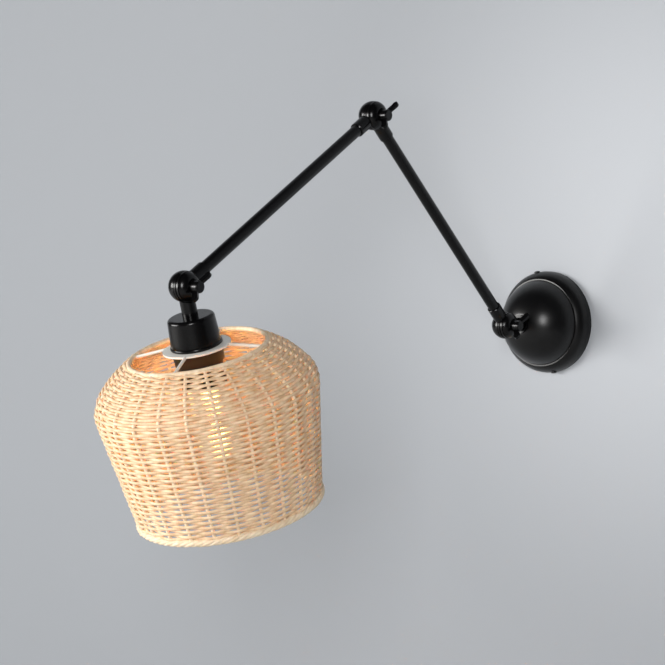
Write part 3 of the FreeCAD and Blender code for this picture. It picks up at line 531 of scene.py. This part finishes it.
# %% Rows of weavers
def weaver_tree():
    tree, sizes = geometry_tree("weavers", ["Row pitch", "Stakes", "Phase", "Reed height", "Reed depth", "Depth",
                                            "Squeeze", "Unevenness", "Seed"])
    outline = sizes["Geometry"]
    length = add(tree, "GeometryNodeCurveLength", {"Curve": outline}).outputs["Length"]
    rows = math_node(tree, "FLOOR", math_node(tree, "DIVIDE", length, sizes["Row pitch"]))
    curves = rings(tree, rows, 192)
    stored = add(tree, "GeometryNodeStoreNamedAttribute",
                 {"Geometry": curves, "Name": "along", "Value": ring_angle(tree)},
                 data_type="FLOAT", domain="POINT")
    angle, row = named(tree, "along"), named(tree, "reed")
    drift = jitter(tree, sizes["Seed"], 1.6, angle, product(tree, sizes["Unevenness"], sizes["Row pitch"]))
    run = sum_of(tree, product(tree, sum_of(tree, row, 0.5), sizes["Row pitch"]), drift)
    spot = add(tree, "GeometryNodeSampleCurve", {"Curves": outline, "Length": run}, mode="LENGTH")
    across = add(tree, "ShaderNodeSeparateXYZ", {0: spot.outputs["Position"]})
    slope = add(tree, "ShaderNodeSeparateXYZ", {0: spot.outputs["Tangent"]})
    cosine, sine = math_node(tree, "COSINE", angle), math_node(tree, "SINE", angle)
    outward = add(tree, "ShaderNodeCombineXYZ",
                  {"X": product(tree, cosine, slope.outputs["Z"]), "Y": product(tree, sine, slope.outputs["Z"]),
                   "Z": product(tree, slope.outputs["X"], -1.0)})
    turn = math_node(tree, "SUBTRACT", angle, sizes["Phase"])
    wave = math_node(tree, "COSINE", sum_of(tree, product(tree, turn, sizes["Stakes"], 0.5),
                                            product(tree, row, math.pi)))
    loose = jitter(tree, sizes["Seed"], 4.0, angle, product(tree, sizes["Reed depth"], 0.15))
    offset = sum_of(tree, product(tree, wave, sizes["Depth"]), loose)
    middle = add(tree, "ShaderNodeCombineXYZ",
                 {"X": product(tree, cosine, across.outputs["X"]), "Y": product(tree, sine, across.outputs["X"]),
                  "Z": across.outputs["Z"]})
    target = add(tree, "ShaderNodeVectorMath",
                 {0: outward.outputs["Vector"], 1: offset, 2: middle.outputs["Vector"]},
                 operation="MULTIPLY_ADD")
    upright = add(tree, "GeometryNodeSetCurveNormal",
                  {"Curve": stored.outputs["Geometry"], "Normal": outward.outputs["Vector"]}, mode="FREE")
    woven = add(tree, "GeometryNodeSetPosition",
                {"Geometry": upright.outputs["Curve"], "Position": target.outputs["Vector"]})
    oval = add(tree, "ShaderNodeCombineXYZ",
               {"X": product(tree, sizes["Reed depth"], 0.5), "Y": product(tree, sizes["Reed height"], 0.5), "Z": 1.0})
    section = add(tree, "GeometryNodeTransform",
                  {"Geometry": round_section(tree, 1.0, 8), "Scale": oval.outputs["Vector"]})
    swell = math_node(tree, "SUBTRACT", 1.06, product(tree, wave, wave, sizes["Squeeze"]))
    sweep(tree, woven.outputs["Geometry"], section.outputs["Geometry"], cane, swell)
    return tree


baked("shade_weave", outline_curve(), weaver_tree(),
      {"Row pitch": ROW_PITCH, "Stakes": STAKES, "Phase": STAKE_PHASE, "Reed height": REED_HEIGHT,
       "Reed depth": REED_DEPTH, "Depth": WEAVE_DEPTH, "Squeeze": 0.16, "Unevenness": 0.10, "Seed": 3},
      "head", "wicker", "shade_wall")


# %% [markdown]
# ## Stakes
# The uprights run straight down the middle of the wall, one in each wave of the weavers. The tree
# copies the outline round the axis and sweeps a round reed along each copy.


# %% Stakes
def stake_tree():
    tree, sizes = geometry_tree("stakes", ["Stakes", "Phase", "Stake radius"])
    line = add(tree, "GeometryNodeMeshLine", {"Count": sizes["Stakes"], "Offset": (0, 0, 0)})
    number = add(tree, "GeometryNodeInputIndex").outputs["Index"]
    turn = math_node(tree, "DIVIDE", product(tree, number, 2 * math.pi), sizes["Stakes"])
    rotation = add(tree, "ShaderNodeCombineXYZ", {"Z": sum_of(tree, turn, sizes["Phase"])})
    placed = add(tree, "GeometryNodeInstanceOnPoints",
                 {"Points": line.outputs["Mesh"], "Instance": sizes["Geometry"],
                  "Rotation": rotation.outputs["Vector"]})
    numbered = add(tree, "GeometryNodeStoreNamedAttribute",
                   {"Geometry": placed.outputs["Instances"], "Name": "reed",
                    "Value": sum_of(tree, number, 100.0)}, data_type="FLOAT", domain="INSTANCE")
    curves = add(tree, "GeometryNodeRealizeInstances", {"Geometry": numbered.outputs["Geometry"]})
    sweep(tree, curves.outputs["Geometry"], round_section(tree, sizes["Stake radius"], 10), cane_rim)
    return tree


baked("shade_stake_reeds", outline_curve(), stake_tree(),
      {"Stakes": STAKES, "Phase": STAKE_PHASE, "Stake radius": STAKE}, "head", "wicker", "shade_stakes")


# %% [markdown]
# ## Rim and border
# The top rim is one smooth cane bent to a ring. The foot is a rolled border: the stakes' ends turned
# down and laid over each other, which reads as a rope. Both come from one tree: strands that wind
# round a ring, with as many turns as the border has wraps.


# %% Rim and border tree
def rope_tree(name, material, resolution, sides):
    tree, sizes = geometry_tree(name, ["Ring radius", "Ring drop", "Strands", "Turns", "Spread", "Reed radius",
                                       "Seed"])
    curves = rings(tree, sizes["Strands"], resolution)
    along = add(tree, "GeometryNodeStoreNamedAttribute",
                {"Geometry": curves, "Name": "along", "Value": ring_angle(tree)},
                data_type="FLOAT", domain="POINT")
    angle = named(tree, "along")
    phase = math_node(tree, "DIVIDE", product(tree, named(tree, "reed"), 2 * math.pi), sizes["Strands"])
    wind = sum_of(tree, product(tree, angle, sizes["Turns"]), phase)
    slack = jitter(tree, sizes["Seed"], 5.0, angle, product(tree, sizes["Reed radius"], 0.10))
    radius = sum_of(tree, sizes["Ring radius"], slack,
                    product(tree, math_node(tree, "COSINE", wind), sizes["Spread"]))
    drop = sum_of(tree, sizes["Ring drop"], slack,
                  product(tree, math_node(tree, "SINE", wind), sizes["Spread"]))
    target = add(tree, "ShaderNodeCombineXYZ",
                 {"X": product(tree, radius, math_node(tree, "COSINE", angle)),
                  "Y": product(tree, radius, math_node(tree, "SINE", angle)), "Z": drop})
    wound = add(tree, "GeometryNodeSetPosition",
                {"Geometry": along.outputs["Geometry"], "Position": target.outputs["Vector"]})
    sweep(tree, wound.outputs["Geometry"], round_section(tree, sizes["Reed radius"], sides), material)
    return tree


def start_curve():
    """An empty curve object for a tree that makes its own rings."""
    curve = bpy.data.objects.new("ring_start", bpy.data.curves.new("ring_start", "CURVE"))
    scene.collection.objects.link(curve)
    return curve


RIM_CANE = 2.1 * MM
BORDER_REED = 1.8 * MM

baked("shade_rim_cane", start_curve(), rope_tree("rim_cane", cane_rim, 128, 16),
      {"Ring radius": RIM_RADIUS, "Ring drop": RIM_DROP, "Strands": 1, "Turns": 0, "Spread": 0.0,
       "Reed radius": RIM_CANE, "Seed": 5}, "head", "wicker", "shade_top_rim")
baked("shade_rolled_border", start_curve(), rope_tree("rolled_border", cane_rim, 480, 8),
      {"Ring radius": foot_radius, "Ring drop": FOOT_DROP + BORDER_REED, "Strands": 5, "Turns": 14,
       "Spread": 1.5 * MM, "Reed radius": BORDER_REED, "Seed": 7}, "head", "wicker", "shade_border")

# %% [markdown]
# ## The room
# A pale grey wall behind the lamp and a pale floor. The wall shows only from the front, so a view
# from behind still sees the canopy's inside. A pool of light is painted into the wall's colour: lighter round a place
# beside the canopy, darker farther from it.


# %% Wall and floor
# Where the painted pool of light is centred on the wall, and how far it fades.
PAINTED_LIGHT_POOL_PLACE = (0.15, 0.0, 0.10)
PAINTED_LIGHT_POOL_REACH = 1.2


def stage_plane(name, corners, material):
    mesh = bpy.data.meshes.new(name)
    mesh.from_pydata(corners, [], [tuple(range(len(corners)))])
    plane = bpy.data.objects.new(name, mesh)
    plane.data.materials.append(material)
    scene.collection.objects.link(plane)


def wall_with_painted_light():
    material, tree, principled = new_material("wall_paint_painted_light_pool", Roughness=0.9, Specular_IOR_Level=0.1)
    place = add(tree, "ShaderNodeTexCoord").outputs["Object"]
    away = add(tree, "ShaderNodeVectorMath", {0: place, 1: PAINTED_LIGHT_POOL_PLACE}, operation="DISTANCE").outputs["Value"]
    # Painted light: the colour is lightest at the pool's place and darker farther off, standing in for lamplight
    # falling on the wall.
    ramp = add(tree, "ShaderNodeValToRGB", {"Fac": math_node(tree, "DIVIDE", away, PAINTED_LIGHT_POOL_REACH)})
    ramp.color_ramp.elements[0].color = (0.520, 0.540, 0.570, 1)
    ramp.color_ramp.elements[1].color = (0.303, 0.317, 0.338, 1)
    ramp.color_ramp.elements.new(0.375).color = (0.343, 0.358, 0.381, 1)
    ramp.color_ramp.interpolation = "EASE"
    tree.links.new(ramp.outputs["Color"], principled.inputs["Base Color"])
    clear = add(tree, "ShaderNodeBsdfTransparent")
    back = add(tree, "ShaderNodeNewGeometry").outputs["Backfacing"]
    mixed = add(tree, "ShaderNodeMixShader", {0: back, 1: principled.outputs[0], 2: clear.outputs[0]})
    tree.links.new(mixed.outputs[0], tree.nodes["Material Output"].inputs["Surface"])
    return material


FLOOR_Z = -0.62
WALL_SPAN, WALL_TOP, FLOOR_REACH = 3.0, 2.2, 5.0
stage_plane("backdrop_wall", [(-WALL_SPAN, 0, FLOOR_Z), (WALL_SPAN, 0, FLOOR_Z),
                              (WALL_SPAN, 0, WALL_TOP), (-WALL_SPAN, 0, WALL_TOP)], wall_with_painted_light())
floor_paint = new_material("floor_paint", Base_Color=(0.62, 0.62, 0.62, 1), Roughness=0.8)[0]
stage_plane("floor", [(-FLOOR_REACH, -FLOOR_REACH, FLOOR_Z), (FLOOR_REACH, -FLOOR_REACH, FLOOR_Z),
                      (FLOOR_REACH, FLOOR_REACH, FLOOR_Z), (-FLOOR_REACH, FLOOR_REACH, FLOOR_Z)], floor_paint)

# %% [markdown]
# ## Light
# A window-like box to the left draws the bright bars on the black balls and lights the left of the
# shade. A small, weak one beside the camera draws the round glow on the dome. The world fills the
# rest. A small warm lamp inside the bulb does most of the glow in the shade.


# %% Lamps
def area_light(name, place, target, width, height, power, colour):
    light = bpy.data.lights.new(name, "AREA")
    light.shape = "RECTANGLE"
    light.size, light.size_y = width, height
    light.energy = power
    light.color = colour
    lamp = bpy.data.objects.new(name, light)
    lamp.location = place
    lamp.rotation_euler = (Vector(target) - Vector(place)).to_track_quat("-Z", "Y").to_euler()
    scene.collection.objects.link(lamp)


area_light("window_left", (-2.1, -2.5, 0.25), (0, -0.3, 0.1), 1.65, 1.0, 100.0, (1.0, 0.99, 0.97))
area_light("soft_front", (1.1, -2.0, 0.35), (0, -0.2, 0.0), 0.42, 0.75, 23.0, (1.0, 1.0, 1.0))

bulb_low, bulb_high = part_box("bulb_filaments")
warm = bpy.data.lights.new("bulb_glow", "POINT")
warm.energy = 2.8
warm.color = (1.0, 0.50, 0.11)
warm.shadow_soft_size = 0.006
warm_lamp = bpy.data.objects.new("bulb_glow", warm)
warm_lamp.location = (bulb_low + bulb_high) / 2
scene.collection.objects.link(warm_lamp)
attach(warm_lamp, "head")

world = bpy.data.worlds.new("soft_room")
world.use_nodes = True
world.node_tree.nodes["Background"].inputs["Color"].default_value = (0.80, 0.83, 0.86, 1)
world.node_tree.nodes["Background"].inputs["Strength"].default_value = 0.07
scene.world = world
